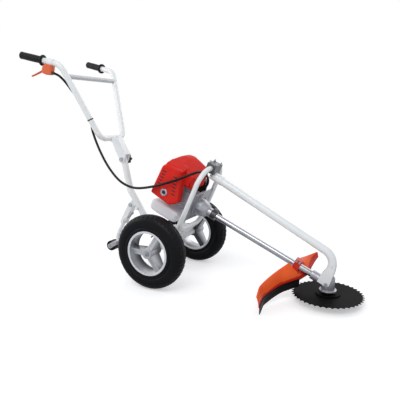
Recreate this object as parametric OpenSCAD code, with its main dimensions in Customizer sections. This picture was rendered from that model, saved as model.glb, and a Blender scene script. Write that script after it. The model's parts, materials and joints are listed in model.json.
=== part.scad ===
// Two-wheeled walk-behind brush cutter: engine on a hoop frame, sloping drive tube, saw blade in front.
// Millimetres, +X forward to the blade, +Y the machine's left, +Z up, tyres and blade cup on z = 0.

/* [Wheels] */
// outside diameter of the big tyres
tyre_d = 330; // [322:1:338]
// width of the big tyres
tyre_w = 78; // [74:1:80]
// distance between the two wheel planes
track = 428; // [424:1:436]

/* [Drive] */
// axle to blade spindle, along the ground
reach = 718; // [712:1:724]
// slope of the drive tube in degrees
slope = 24.2; // [23.8:0.1:24.6]
// outside diameter of the bright drive tube
drive_d = 28; // [27:0.5:29]

/* [Blade] */
// saw blade diameter over the teeth
blade_d = 290; // [280:1:292]
// thickness of the saw blade
blade_t = 1.8; // [1.4:0.1:2.4]
// number of teeth
blade_teeth = 40; // [32:1:48]

/* [Handlebar] */
// outside diameter of the handlebar tube
bar_d = 27; // [25:0.5:28]
// outside diameter of the grips
grip_d = 34; // [32:0.5:36]
// length of the grips
grip_len = 122; // [114:1:126]

/* [Clearances] */
// radial clearance of parts fixed in each other
fit = 0.05; // [0.02:0.01:0.1]
// radial clearance of turning parts
running = 0.05; // [0.03:0.01:0.1]

/* [Hidden] */
$fn = 48;
// gap between faces of parts that move past each other
air = 0.3;
// tube sizes of the frame
hoop_d = 22;
stem_d = 32;
support_d = 35;
axle_tube_d = 28;
axle_d = 20;
// wheel figures
axle_z = tyre_d / 2;
rim_r = 101.6;
wheel_y = track / 2;
axle_end = 269;
// drive frame: apex of the bevel gears stands over the blade, the tube climbs back from it
apex_z = 74;
// the hoop stands this far ahead of the axle, and the drive tube takes up the rest of the reach
drive_x = 192.8;
drive_len = (reach - drive_x) / cos(slope);
dir_a = [cos(slope), 0, -sin(slope)];
dir_c = [sin(slope), 0, cos(slope)];
p0 = [reach, 0, apex_z] - drive_len * dir_a;
// hoop in the plane x = hoop_x of the drive frame
hoop_x = -83;
hoop_top = 194;
hoop_low = -115;
hoop_y = 109;
// handlebar points and fold axis
pivot = [-292, 0, 535];
bar_end = [-692, -229, 1020];
bar_top = [-490, -190, 972];
bar_low = [-358, -88, 636];
bar_dir = (bar_end - bar_top) / norm(bar_end - bar_top);
bar_run = norm(bar_end - bar_top);
bar_az = atan2(bar_dir[1], bar_dir[0]);
bar_el = asin(bar_dir[2]);
// tail leg points
tail_pivot = [-247, 0, 313];
tail_joint = [-300, 0, 220];
tail_foot = [-345, 0, 112];
tail_hub = [-377, 0, 85];
tail_r = 26;
spring_a = [-200, -27, 300];
spring_b = [-287, -27, 226];
// middle of the whole length, taken from the blade tip and the end of a grip
rear_x = bar_end[0] - grip_d / 2 * sqrt(1 - bar_dir[0] * bar_dir[0]);
front_x = reach + blade_d / 2;
mid_x = (front_x + rear_x) / 2;

// vector and tube helpers
function unit(v) = v / norm(v);

module rod(p, q, d) {
    v = unit(q - p);
    translate(p) rotate([0, acos(v[2]), atan2(v[1], v[0])]) cylinder(h = norm(q - p), d = d);
}

module elbow(q, d1, d2, r, d) {
    th = acos(d1 * d2);
    s = q - r * tan(th / 2) * d1;
    c = q + unit(d2 - d1) * r / cos(th / 2);
    ex = unit(s - c);
    n = cross(ex, d1);
    multmatrix([[ex[0], d1[0], n[0], c[0]], [ex[1], d1[1], n[1], c[1]], [ex[2], d1[2], n[2], c[2]],
        [0, 0, 0, 1]])
        rotate_extrude(angle = th) translate([r, 0]) circle(d = d);
}

// straight runs and bends; the runs reach a little into the bends, which are a hair thicker
lap = 1;
module run(pts, r, d) {
    n = len(pts);
    dirs = [for (i = [0:n - 2]) unit(pts[i + 1] - pts[i])];
    cut = [for (i = [0:n - 1]) (i == 0 || i == n - 1) ? 0 : r[i] * tan(acos(dirs[i - 1] * dirs[i]) / 2)];
    for (i = [0:n - 2])
        rod(pts[i] + dirs[i] * (i == 0 ? 0 : cut[i] - lap), pts[i + 1] - dirs[i] * (i == n - 2 ? 0 : cut[i + 1] - lap), d);
    for (i = [1:n - 2])
        elbow(pts[i], dirs[i - 1], dirs[i], r[i], d + 0.06);
}

// the same points with both ends pushed out by e
function longer(pts, e) = let (n = len(pts))
    [for (i = [0:n - 1]) i == 0 ? pts[0] - e * unit(pts[1] - pts[0])
        : i == n - 1 ? pts[n - 1] + e * unit(pts[n - 1] - pts[n - 2]) : pts[i]];

module pipe(pts, r, d, wall) {
    difference() {
        run(pts, r, d);
        run(longer(pts, 1), r, d - 2 * wall);
    }
}

// closed skin over equal rings of points
module skin(rings, caps = []) {
    n = len(rings);
    m = len(rings[0]);
    pts = [for (r = rings) each r];
    sides = [for (i = [0:n - 2]) for (j = [0:m - 1])
        each [[i * m + j, i * m + (j + 1) % m, (i + 1) * m + (j + 1) % m],
            [i * m + j, (i + 1) * m + (j + 1) % m, (i + 1) * m + j]]];
    fan = len(caps) > 0 ? caps : [[for (j = [0:m - 1]) j]];
    ends = [for (c = fan) each [[for (k = [len(c) - 1:-1:0]) c[k]], [for (k = c) (n - 1) * m + k]]];
    polyhedron(points = pts, faces = concat(sides, ends), convexity = 6);
}

// rings of a tube along points, each ring square to the path, turned so that the rings do not twist
function ring_at(p, t, rad, m) = let (
    s = unit(cross(t, abs(t[1]) > 0.9 ? [0, 0, 1] : [0, 1, 0])),
    u = cross(s, t))
    [for (j = [0:m - 1]) p + rad * (cos(360 * j / m) * s + sin(360 * j / m) * u)];

// frames and small hardware
module drive() { translate(p0) rotate([0, slope, 0]) children(); }
module along_x() { rotate([0, 90, 0]) children(); }
module along_y() { rotate([-90, 0, 0]) children(); }
module plate_y(y0, t, pts) { translate([0, y0 + t, 0]) rotate([90, 0, 0]) linear_extrude(t) polygon(pts); }
module hex(d, h) { cylinder(d = d, h = h, $fn = 6); }
module bolt(d, len) {
    cylinder(d = d, h = len);
    translate([0, 0, len]) hex(d * 1.8, d * 0.65);
}
module bar_frame() { translate(bar_top) rotate([0, -bar_el, bar_az]) children(); }
function in_drive(p) = p0 + p[0] * dir_a + [0, p[1], 0] + p[2] * dir_c;

white = [0.93, 0.94, 0.95];
dark = [0.16, 0.16, 0.17];
alloy = [0.72, 0.73, 0.74];
steel = [0.6, 0.6, 0.62];
red = [0.84, 0.16, 0.14];
orange = [0.92, 0.33, 0.15];
function my(p) = [p[0], -p[1], p[2]];

// hoop frame
hoop_pts = [for (p = [[0, hoop_low], [hoop_y, hoop_low], [hoop_y, hoop_top], [-hoop_y, hoop_top],
    [-hoop_y, hoop_low], [0, hoop_low]]) [hoop_x, p[0], p[1]]];
hoop_r = [0, 45, 75, 75, 45, 0];

module hoop() {
    color(white) drive() difference() {
        run(hoop_pts, hoop_r, hoop_d);
        run(hoop_pts, hoop_r, hoop_d - 4);
        for (s = [-1, 1])
            translate([hoop_x, s * 30, hoop_low - hoop_d]) cylinder(d = 5, h = hoop_d);
    }
}

module engine_plate() {
    w = hoop_y - hoop_d / 2 - fit;
    color(steel) drive() difference() {
        translate([hoop_x - 3, -w, -65]) cube([6, 2 * w, 135]);
        translate([hoop_x - 4, 0, 0]) along_x() cylinder(r = 42, h = 8);
        for (a = [45:90:315])
            translate([hoop_x - 4, 50 * cos(a), 50 * sin(a)]) along_x() cylinder(d = 6 + 2 * fit, h = 8);
    }
}

// straight stretch of the hoop's lower member, as a cutter
module hoop_cut() {
    drive() translate([hoop_x, -60, hoop_low]) along_y() cylinder(d = hoop_d + 2 * fit, h = 120);
}

// stem and spine, one bent tube with the tabs of the tail leg and the spring post
stem_k1 = [-258, 0, 385];
stem_k2 = [-130, 0, 190];
stem_dir = unit(stem_k1 - pivot);
stem_pts = [pivot - 20 * stem_dir, stem_k1, stem_k2, in_drive([hoop_x, 0, hoop_low])];
stem_r = [0, 80, 60, 0];

module spine() {
    s = unit(stem_k2 - stem_k1);
    foot = stem_k1 + s * ((tail_pivot - stem_k1) * s);
    tab = [for (p = [foot - 18 * s, foot + 18 * s, tail_pivot + 13 * s, tail_pivot - 13 * s]) [p[0], p[2]]];
    color(white) difference() {
        union() {
            run(stem_pts, stem_r, stem_d);
            for (y = [-14.75, 10.45]) {
                plate_y(y, 4.3, tab);
                translate([tail_pivot[0], y, tail_pivot[2]]) along_y() cylinder(r = 13, h = 4.3);
            }
            translate([spring_a[0], -34, spring_a[2]]) along_y() cylinder(d = 8, h = 24);
            translate([spring_a[0], -36, spring_a[2]]) along_y() cylinder(d = 12, h = 3);
        }
        run(longer(stem_pts, 1), stem_r, stem_d - 5);
        hoop_cut();
        translate(pivot + [0, -30, 0]) along_y() cylinder(d = 10 + 2 * running, h = 60);
        translate(tail_pivot + [0, -30, 0]) along_y() cylinder(d = 10 + 2 * fit, h = 60);
    }
}

// cross tube for the axle, with saddle plates to the spine and struts to the hoop
hub_in = wheel_y - 45;
hub_out = wheel_y + 38;

module axle_carrier() {
    h = in_drive([hoop_x, 0, hoop_low]);
    a = [0, 0, axle_z];
    v = unit(h - a);
    n = [-v[2], 0, v[0]];
    function stem_z(x) = stem_k2[2] + (x - stem_k2[0]) * (h[2] - stem_k2[2]) / (h[0] - stem_k2[0]);
    strut = [for (p = [a + 10 * n, a - 10 * n, h - 10 * n, h + 10 * n]) [p[0], p[2]]];
    color(white) difference() {
        union() {
            translate([0, -hub_in + air, axle_z]) along_y() cylinder(d = axle_tube_d, h = 2 * (hub_in - air));
            for (y = [-15, 10])
                plate_y(y, 5, [[-13, axle_z], [13, axle_z], [40, stem_z(40)], [-40, stem_z(-40)]]);
            for (y = [-56, 50])
                plate_y(y, 6, strut);
        }
        rod(stem_k2, stem_pts[3] + 20 * unit(stem_pts[3] - stem_k2), stem_d + 2 * fit);
        hoop_cut();
        translate([0, -hub_in, axle_z]) along_y() cylinder(d = axle_d + 2 * fit, h = 2 * hub_in);
    }
}

module axle() {
    color(steel) {
        translate([0, -hub_out - air, axle_z]) along_y() cylinder(d = axle_d, h = 2 * (hub_out + air));
        translate([0, -axle_end, axle_z]) along_y() cylinder(d = 14, h = 2 * axle_end);
    }
}

module wheel_nuts() {
    color(steel) for (s = [0, 1]) mirror([0, s, 0])
        translate([0, hub_out + air, axle_z]) along_y() difference() {
            hex(26, 10);
            translate([0, 0, -1]) cylinder(d = 14 + 2 * fit, h = 12);
        }
}

// wheels, drawn for the left side with the outer face towards +Y
function sq(a, e) = sign(a) * pow(abs(a), e);
tyre_mid = (tyre_d / 2 + 97) / 2;
tyre_hh = tyre_d / 2 - tyre_mid;
tyre_out = [for (f = [130:-10:-130]) [tyre_mid + tyre_hh * sq(cos(f), 0.83), tyre_w / 2 * sq(sin(f), 0.83)]];
tyre_in = [for (f = [-120:15:120]) [tyre_mid + (tyre_hh - 8) * sq(cos(f), 0.83),
    (tyre_w / 2 - 7) * sq(sin(f), 0.83)]];

module wheel_at() { translate([0, wheel_y, axle_z]) along_y() children(); }

module tyre_body() {
    color(dark) wheel_at() rotate_extrude()
        polygon(concat([[96 + fit, 30 - fit], [107, 30 - fit]], tyre_out,
            [[107, -30 + fit], [96 + fit, -30 + fit], [96 + fit, -19], [104, -19]], tyre_in,
            [[104, 19], [96 + fit, 19]]));
}

module rim_body() {
    color(alloy) wheel_at() difference() {
        union() {
            rotate_extrude() polygon([[89, -36], [105, -36], [105, -30], [96, -30], [96, 30], [105, 30],
                [105, 36], [89, 36]]);
            translate([0, 0, -45]) cylinder(d = 46, h = 83);
            for (a = [180, 60, -60]) rotate([0, 0, -a]) difference() {
                translate([0, 12, 0]) rotate([90, 0, 0]) linear_extrude(24)
                    polygon([[16, 33], [90, 20], [90, -22], [16, -34]]);
                translate([26, -4, 28]) rotate([0, 10, 0]) cube([60, 8, 12]);
            }
        }
        translate([0, 0, -60]) cylinder(d = axle_d + 2 * running, h = 120);
    }
}

module left_tyre() { tyre_body(); }
module left_rim() { rim_body(); }
module right_tyre() { mirror([0, 1, 0]) tyre_body(); }
module right_rim() { mirror([0, 1, 0]) rim_body(); }

// handlebar with its cross bar
bar_in = bar_top + bar_dir * (bar_run - 4);
bar_pts = [bar_in, bar_top, bar_low, my(bar_low), my(bar_top), my(bar_in)];
bar_r = [0, 60, 50, 50, 60, 0];
cross_p = bar_top + 0.152 * (bar_low - bar_top);

module handlebar() {
    leg = unit(bar_low - bar_top);
    color(white) {
        pipe(bar_pts, bar_r, bar_d, 2);
        difference() {
            rod(cross_p, my(cross_p), 22);
            rod(cross_p, my(cross_p), 18);
            for (m = [0, 1])
                mirror([0, m, 0]) rod(cross_p - 30 * leg, cross_p + 30 * leg, bar_d - 2);
            translate([cross_p[0], 0, cross_p[2] - 20]) cylinder(d = 4, h = 20);
        }
    }
}

bracket_y = stem_d / 2 + air;

module handle_bracket() {
    side = [[-358, 650], [-312, 640], [-266, 560], [-275.5, 530], [-309, 540], [-330, 580], [-345, 618], [-360, 622]];
    color(white) difference() {
        union() {
            for (y = [-bracket_y - 3, bracket_y]) {
                plate_y(y, 3, side);
                translate([pivot[0], y, pivot[2]]) along_y() cylinder(r = 17, h = 3);
            }
            plate_y(-bracket_y - 3, 2 * bracket_y + 6, [[-312, 640], [-266, 560], [-268.6, 558.5], [-314.6, 638.5]]);
        }
        rod(bar_low - [0, 10, 0], my(bar_low) + [0, 10, 0], bar_d + 2 * fit);
        translate(pivot + [0, -30, 0]) along_y() cylinder(d = 10 + 2 * fit, h = 60);
    }
}

module pivot_bolt() {
    color(steel) {
        translate(pivot - [0, bracket_y + 3, 0]) along_y() cylinder(d = 10, h = 2 * bracket_y + 17);
        translate(pivot - [0, bracket_y + 9, 0]) along_y() cylinder(d = 20, h = 6);
    }
}

module star_knob() {
    color(dark) translate(pivot + [0, bracket_y + 3 + air, 0]) along_y() difference() {
        union() {
            cylinder(r = 17, h = 19);
            for (a = [0:60:300]) rotate([0, 0, a]) translate([17, 0, 5]) cylinder(r = 6.5, h = 13);
        }
        translate([0, 0, -1]) cylinder(d = 10 + 2 * running, h = 15.5);
    }
}

module grip_body() {
    color(dark) bar_frame() difference() {
        union() {
            translate([bar_run - grip_len, 0, 0]) along_x() cylinder(d = grip_d, h = grip_len);
            translate([bar_run - grip_len, 0, 0]) along_x() cylinder(d = grip_d + 16, h = 8);
        }
        translate([bar_run - grip_len - 1, 0, 0]) along_x() cylinder(d = bar_d + 2 * fit, h = grip_len - 3);
    }
}

module grips() {
    grip_body();
    mirror([0, 1, 0]) grip_body();
}

// throttle on the right arm
lever_p = [68, 0, -38];

module throttle_housing() {
    color(orange) bar_frame() {
        difference() {
            union() {
                translate([34, 0, 0]) along_x() cylinder(d = bar_d + 9, h = 32);
                translate([33, -15, -58]) cube([51, 30, 54]);
            }
            translate([20, 0, 0]) along_x() cylinder(d = bar_d + 2 * fit, h = 80);
            translate([54, -5.5, -60]) cube([40, 11, 38]);
            translate([20, 0, -45]) along_x() cylinder(d = 12.6, h = 24);
        }
        translate(lever_p - [0, 14, 0]) along_y() cylinder(d = 5, h = 28);
    }
}

module throttle_lever() {
    color(orange) bar_frame() difference() {
        union() {
            translate(lever_p - [0, 5, 0]) along_y() cylinder(r = 7, h = 10);
            plate_y(-5, 10, [[62, -41], [72, -32.5], [100, -48], [138, -76], [142, -80], [140, -85], [134, -86],
                [98, -62], [70, -45]]);
        }
        translate(lever_p - [0, 6, 0]) along_y() cylinder(d = 5 + 2 * running, h = 12);
    }
}

// cable sleeve: chosen points, then points between them on a smooth curve
cable_d = 11;
cable_keys = concat([[-520, -196, 933], [-504, -184, 922], [-491, -162, 896], [-468, -145, 856], [-432, -119, 800],
    [-406, -99.5, 726], [-394, -100.5, 667], [-351, -108, 584], [-301, -110, 508], [-244, -112, 452],
    [-186, -116, 426], [-122, -124, 422], [-32, -138, 439], [33, -140, 458], [97, -136, 480]],
    [for (p = [[-117, -113, 160], [-106, -78, 170], [-105, -35, 158], [-105, 12, 142], [-105, 50, 116],
        [-104, 66, 88], [-112, 60, 60], [-134, 58, 48]]) in_drive(p)]);

function hermite(a, b, c, d, t) = 0.5 * ((2 * b) + (c - a) * t + (2 * a - 5 * b + 4 * c - d) * t * t
    + (3 * b - a - 3 * c + d) * t * t * t);
cable_n = len(cable_keys);
cable_path = concat([for (i = [0:cable_n - 2]) for (t = [0, 0.3333, 0.6667])
    hermite(cable_keys[max(0, i - 1)], cable_keys[i], cable_keys[i + 1], cable_keys[min(cable_n - 1, i + 2)], t)],
    [cable_keys[cable_n - 1]]);

module throttle_cable() {
    n = len(cable_path);
    color(dark) skin([for (i = [0:n - 1]) ring_at(cable_path[i],
        unit(cable_path[min(n - 1, i + 1)] - cable_path[max(0, i - 1)]), cable_d / 2, 10)]);
}

module cable_ties() {
    c = cable_keys[5];
    leg = unit(bar_low - bar_top);
    m = bar_top + leg * ((c - bar_top) * leg);
    color(dark) difference() {
        union() {
            rod(m - 2.5 * leg, m + 2.5 * leg, bar_d + 3);
            rod(c - 2.5 * leg, c + 2.5 * leg, cable_d + 5);
        }
        rod(m - 4 * leg, m + 4 * leg, bar_d + 2 * fit);
        rod(c - 4 * leg, c + 4 * leg, cable_d + 2);
    }
}

// tail leg with spring, castor fork and small wheel
module tail_arm() {
    v = unit(tail_joint - tail_pivot);
    n = [-v[2], 0, v[0]];
    bar = [for (p = [tail_pivot + 13 * n, tail_pivot - 13 * n, tail_joint - 13 * n, tail_joint + 13 * n]) [p[0], p[2]]];
    color(white) difference() {
        union() {
            for (y = [-18.05, 15.05]) {
                plate_y(y, 3, bar);
                for (p = [tail_pivot, tail_joint])
                    translate([p[0], y, p[2]]) along_y() cylinder(r = 13, h = 3);
            }
            translate(tail_pivot + 55 * v - [0, 17, 0]) along_y() cylinder(d = 10, h = 34);
            translate(tail_joint - [0, 23, 0]) along_y() cylinder(d = 8, h = 46);
            translate([spring_b[0], -34, spring_b[2]]) along_y() cylinder(d = 8, h = 17);
            translate([spring_b[0], -36, spring_b[2]]) along_y() cylinder(d = 12, h = 3);
        }
        translate(tail_pivot + [0, -30, 0]) along_y() cylinder(d = 10 + 2 * running, h = 60);
    }
}

tail_pts = [tail_joint, [-330, 0, 172], [-345, 0, 140], tail_foot];
tail_br = [0, 60, 40, 0];

module tail_tube() {
    v = unit(tail_pts[1] - tail_joint);
    color(white) difference() {
        union() {
            run(tail_pts, tail_br, 19);
            translate(tail_joint - [0, 15, 0]) along_y() cylinder(r = 12, h = 30);
        }
        run(longer(concat([tail_joint + 14 * v], [for (i = [1:3]) tail_pts[i]]), 1), tail_br, 15);
        translate(tail_joint - [0, 20, 0]) along_y() cylinder(d = 8 + 2 * fit, h = 40);
    }
}

module tail_fork() {
    side = [[-358, 111.7], [-332, 111.7], [-332, 100], [-366, 77], [-385, 78], [-388, 90]];
    color(dark) difference() {
        union() {
            translate([tail_foot[0], 0, 105]) cylinder(d = 15 - 2 * running, h = 25);
            plate_y(-31, 62, side);
            translate(tail_hub - [0, 31, 0]) along_y() cylinder(r = 12, h = 62);
        }
        translate(tail_hub - [0, 27.5, 0]) along_y() cylinder(r = tail_r + 2.5, h = 55);
        translate(tail_hub - [0, 40, 0]) along_y() cylinder(d = 8 + 2 * fit, h = 80);
    }
}

module tail_axle() {
    color(steel) {
        translate(tail_hub - [0, 36, 0]) along_y() cylinder(d = 8, h = 72);
        for (y = [-36, 31])
            translate(tail_hub + [0, y, 0]) along_y() hex(14, 5);
    }
}

module tail_wheel() {
    color(dark) translate(tail_hub) along_y() rotate_extrude()
        polygon([[4 + running, -27], [9, -27], [9, -25], [tail_r - 4, -25], [tail_r, -20], [tail_r, 20], [tail_r - 4, 25],
            [9, 25], [9, 27], [4 + running, 27]]);
}

// extension spring: one wire from hook to hook, 8 rings in each curl
module tail_spring() {
    wire_r = 1;
    coil_r = 5;
    turns = 16;
    pitch = 3;
    e = unit(spring_b - spring_a);
    f = [-e[2], 0, e[0]];
    g = [0, 1, 0];
    d1 = (norm(spring_b - spring_a) - turns * pitch) / 2;
    hook_a = [for (k = [0:8]) let (a = 60 + 30 * k) [spring_a + 5.6 * (cos(a) * e + sin(a) * f), cos(a) * e + sin(a) * f]];
    coil = [for (k = [0:turns * 8]) let (a = -90 + 45 * k, n = sin(a) * f + cos(a) * g)
        [spring_a + (d1 + pitch * k / 8) * e + coil_r * n, n]];
    hook_b = [for (k = [0:8]) let (a = 240 + 30 * k) [spring_b + 5.6 * (cos(a) * e + sin(a) * f), cos(a) * e + sin(a) * f]];
    path = concat(hook_a, coil, hook_b);
    n = len(path);
    gaps = [for (i = [0:n - 6]) for (j = [i + 5:n - 1]) norm(path[i][0] - path[j][0]) - 2 * wire_r];
    echo(spring_least_gap = min(gaps));
    color(steel) skin([for (i = [0:n - 1]) let (
        t = unit(path[min(n - 1, i + 1)][0] - path[max(0, i - 1)][0]),
        m = unit(path[i][1] - (path[i][1] * t) * t),
        b = cross(t, m))
        [for (j = [0:5]) path[i][0] + wire_r * (cos(60 * j) * m - sin(60 * j) * b)]]);
}

// drive line
module drive_tube() {
    color(steel) drive() translate([-20, 0, 0]) along_x() difference() {
        cylinder(d = drive_d, h = drive_len - 17.8);
        translate([0, 0, -1]) cylinder(d = drive_d - 4, h = drive_len - 15.8);
    }
}

module tube_collar() {
    color(dark) drive() difference() {
        union() {
            translate([-4, 0, 0]) along_x() cylinder(r = 22, h = 24);
            translate([0, -10, 14]) cube([16, 20, 16]);
        }
        translate([-5, 0, 0]) along_x() cylinder(d = drive_d + 2 * fit, h = 26);
        translate([-5, -1, 10]) cube([26, 2, 30]);
    }
}

module shaft_bushes() {
    color(alloy) drive() for (x = [10, drive_len * 0.45, drive_len - 60.8])
        translate([x, 0, 0]) along_x() difference() {
            cylinder(d = drive_d - 4 - 2 * fit, h = 16);
            translate([0, 0, -1]) cylinder(d = 9 + 2 * running, h = 18);
        }
}

module drive_shaft() {
    color(steel) drive() translate([-56, 0, 0]) along_x() cylinder(d = 9, h = 56 + drive_len - 9);
}

module clutch_drum() {
    color(steel) drive() along_x() rotate_extrude()
        polygon([[4.5 + fit, -56], [4.5 + fit, -44], [9, -44], [9, -52], [33.5, -52], [33.5, -77], [31, -77], [31, -56]]);
}

module crankshaft() {
    color(steel) drive() along_x() rotate_extrude()
        polygon([[0, -206], [22, -206], [22, -194], [8, -194], [8, -79], [12, -79], [12, -76], [29.5, -76], [29.5, -60], [0, -60]]);
}

module clutch_housing() {
    t = drive_d / 2 + fit;
    color(alloy) drive() difference() {
        along_x() rotate_extrude()
            polygon([[36, -80], [57, -80], [57, -74], [43, -74], [42, -58], [30, -28], [22, -20], [22, -4], [t, -4],
                [t, -20], [10, -20], [10, -30], [18, -32], [36, -50]]);
        for (a = [45:90:315])
            translate([-81, 50 * cos(a), 50 * sin(a)]) along_x() cylinder(d = 6 + 2 * fit, h = 8);
    }
}

// bevel gears with cones meeting at the apex, plenty of backlash
function gear_pts(n, r, m) = [for (k = [0:n - 1]) for (q = [[-0.25, -1], [-0.15, 0.7], [0.15, 0.7], [0.25, -1]])
    let (a = 360 * (k + q[0] * 0.9) / n, rr = r + q[1] * m) [rr * cos(a), rr * sin(a)]];
cone_1 = atan2(sin(90 + slope), 19 / 14 + cos(90 + slope));
cone_2 = 90 + slope - cone_1;
cone_r = 17 / sin(cone_2);
pin_r = cone_r * sin(cone_1);
// height of the pinion's teeth, kept low for backlash; the gear's are as high, square to the pitch cone
gear_m = 1.05;

module bevel_pinion() {
    x1 = drive_len - cone_r * cos(cone_1);
    color(steel) drive() difference() {
        union() {
            translate([x1, 0, 0]) along_x() linear_extrude(0.39 * cone_r * cos(cone_1), scale = 0.61)
                polygon(gear_pts(14, pin_r, gear_m));
            translate([x1 - 10, 0, 0]) along_x() cylinder(r = 9, h = 10);
        }
        translate([x1 - 20, 0, 0]) along_x() cylinder(d = 9 + 2 * fit, h = 40);
    }
}

module bevel_gear() {
    z1 = apex_z - cone_r * cos(cone_2);
    color(steel) translate([reach, 0, 0]) difference() {
        union() {
            translate([0, 0, z1]) linear_extrude(0.39 * cone_r * cos(cone_2), scale = 0.61)
                polygon(gear_pts(19, 17, gear_m * cos(cone_1) / cos(cone_2)));
            translate([0, 0, 57]) cylinder(r = 13, h = z1 - 57);
        }
        translate([0, 0, 50]) cylinder(d = 10 + 2 * fit, h = 40);
    }
}

module gear_head() {
    color(alloy) difference() {
        union() {
            translate([reach, 0, 51]) cylinder(r = 27, h = 50);
            drive() translate([drive_len - 75.8, 0, 0]) along_x() cylinder(d = drive_d + 12, h = 62);
        }
        translate([reach, 0, 50]) cylinder(r = 21.5, h = 45);
        drive() translate([drive_len - 76.8, 0, 0]) along_x() cylinder(d = drive_d + 2 * fit, h = 40);
        drive() translate([drive_len - 37.8, 0, 0]) along_x() cylinder(r = 12, h = 20);
        drive() translate([drive_len - 27.8, 0, 0]) along_x() cylinder(r = 15, h = 18);
        for (s = [-1, 1])
            translate([reach - 4, s > 0 ? 23 : -31, 81]) along_y() cylinder(d = 8 + 2 * fit, h = 8);
    }
}

module head_cover() {
    color(steel) translate([reach, 0, 0]) difference() {
        union() {
            translate([0, 0, 45]) cylinder(r = 35, h = 6);
            translate([0, 0, 50]) cylinder(r = 21.5 - fit, h = 6);
        }
        translate([0, 0, 40]) cylinder(d = 10 + 2 * running, h = 20);
    }
}

module spindle() {
    color(steel) translate([reach, 0, 9]) cylinder(d = 10, h = 61);
}

blade_z = 30;

module upper_flange() {
    color(dark) translate([reach, 0, 0]) difference() {
        union() {
            translate([0, 0, blade_z + blade_t]) cylinder(r = 50, h = 5);
            translate([0, 0, blade_z + blade_t]) cylinder(r = 22, h = 45 - air - blade_z - blade_t);
            translate([0, 0, blade_z]) cylinder(r = 12.7 - fit, h = blade_t + 1);
        }
        translate([0, 0, 20]) cylinder(d = 10 + 2 * fit, h = 40);
    }
}

module blade() {
    r = blade_d / 2;
    p = 360 / blade_teeth;
    color(dark) translate([reach, 0, blade_z]) linear_extrude(blade_t) difference() {
        polygon([for (k = [0:blade_teeth - 1]) for (q = [[0, 0], [0.12, -0.5], [0.3, -8], [0.7, -8.5]])
            (r + q[1]) * [cos(p * (k + q[0])), sin(p * (k + q[0]))]]);
        circle(d = 25.4);
    }
}

module support_cup() {
    color(steel) translate([reach, 0, 0]) rotate_extrude()
        polygon([[5 + fit, 30], [50, 30], [50, 27], [37, 3], [34, 0], [24, 0], [26, 4], [34, 22], [5 + fit, 22]]);
}

module spindle_nut() {
    color(steel) translate([reach, 0, 12]) difference() {
        hex(20, 10);
        translate([0, 0, -1]) cylinder(d = 10 + 2 * fit, h = 12);
    }
}

// upper support tube from the clamp on the hoop to the gear head
sup_a = in_drive([-53, 0, 160]);
sup_pts = [sup_a, [reach + 30, 0, 188], [reach - 6, 0, 111]];
sup_r = [0, 60, 0];
sup_dir = unit(sup_pts[1] - sup_a);

module support_tube() {
    side = [for (p = [[2, 152], [-27, 115], [-40, 88], [-10, 72], [8, 74], [17, 103], [22, 119], [26, 149]])
        [reach + p[0], p[1]]];
    color(white) difference() {
        union() {
            run(sup_pts, sup_r, support_d);
            for (y = [-30.05, 27.05])
                plate_y(y, 3, side);
            plate_y(-30.05, 60.1, [for (p = [[26, 149], [17, 104], [11, 104], [20, 150]]) [reach + p[0], p[1]]]);
        }
        run(longer(sup_pts, 1), sup_r, support_d - 5);
        translate([reach - 4, -40, 81]) along_y() cylinder(d = 8 + 2 * fit, h = 80);
    }
}

module clamp_holes() {
    for (x = [-16.5, 16.5]) for (y = [-23, 23])
        translate([hoop_x + x, y, 150]) cylinder(d = 6 + 2 * fit, h = 80);
}

module clamp_base() {
    color(dark) difference() {
        union() {
            drive() translate([hoop_x - 22, -34, 172]) cube([44, 68, 22]);
            rod(sup_a - 25 * sup_dir, sup_a + 34 * sup_dir, support_d + 5);
        }
        drive() translate([hoop_x, -60, hoop_top]) along_y() cylinder(d = hoop_d + 2 * fit, h = 120);
        rod(sup_a, sup_a + 40 * sup_dir, support_d + 2 * fit);
        drive() clamp_holes();
    }
}

module clamp_cap() {
    color(dark) drive() difference() {
        translate([hoop_x - 22, -34, 194]) cube([44, 68, 20]);
        translate([hoop_x, -60, hoop_top]) along_y() cylinder(d = hoop_d + 2 * fit, h = 120);
        clamp_holes();
    }
}

// fasteners of the frame: engine, clamp, guard and gear head bolts, and the tail pivot bolt
module bolts() {
    color(steel) {
        drive() {
            for (a = [45:90:315])
                translate([-92, 50 * cos(a), 50 * sin(a)]) along_x() bolt(6, 18);
            for (x = [-16.5, 16.5]) for (y = [-23, 23])
                translate([hoop_x + x, y, 174]) bolt(6, 40);
            for (x = [drive_len - 150.8, drive_len - 136.8])
                translate([x, 16.5, 20.5]) rotate([90, 0, 0]) bolt(6, 33);
        }
        for (s = [0, 1])
            mirror([0, s, 0]) translate([reach - 4, 24, 81]) along_y() bolt(8, 6.05);
        translate(tail_pivot - [0, 18.35, 0]) along_y() bolt(10, 36.7);
        translate(tail_pivot - [0, 24.35, 0]) along_y() hex(18, 6);
    }
}

// guard: stations of lower edge x, y, z, upper edge x, z, and bulge forward half way up; low at the drive tube
guard_st = [[516, -266, 33, 507, 75, 2], [510, -222, 36, 501, 94, 3], [507, -183, 38, 499, 97, 4], [521, -130, 46, 514, 112, 5],
    [545, -75, 56, 534, 127, 6], [573, -46, 65, 554, 142, 9], [590, -30, 70, 562, 147, 9], [602, -17, 72.5, 602, 99, 0],
    [625, 17, 86, 625, 101, 0], [632, 32, 95, 592, 154, 9], [635, 52, 108, 596, 152, 9], [640, 90, 124, 613, 152, 6],
    [648, 130, 140, 643, 161, 0]];
gx = reach - 718;
function guard_n(i) = let (a = guard_st[max(0, i - 1)], b = guard_st[min(len(guard_st) - 1, i + 1)],
    v = unit([b[0] - a[0], b[1] - a[1]])) [v[1], -v[0], 0];

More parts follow.
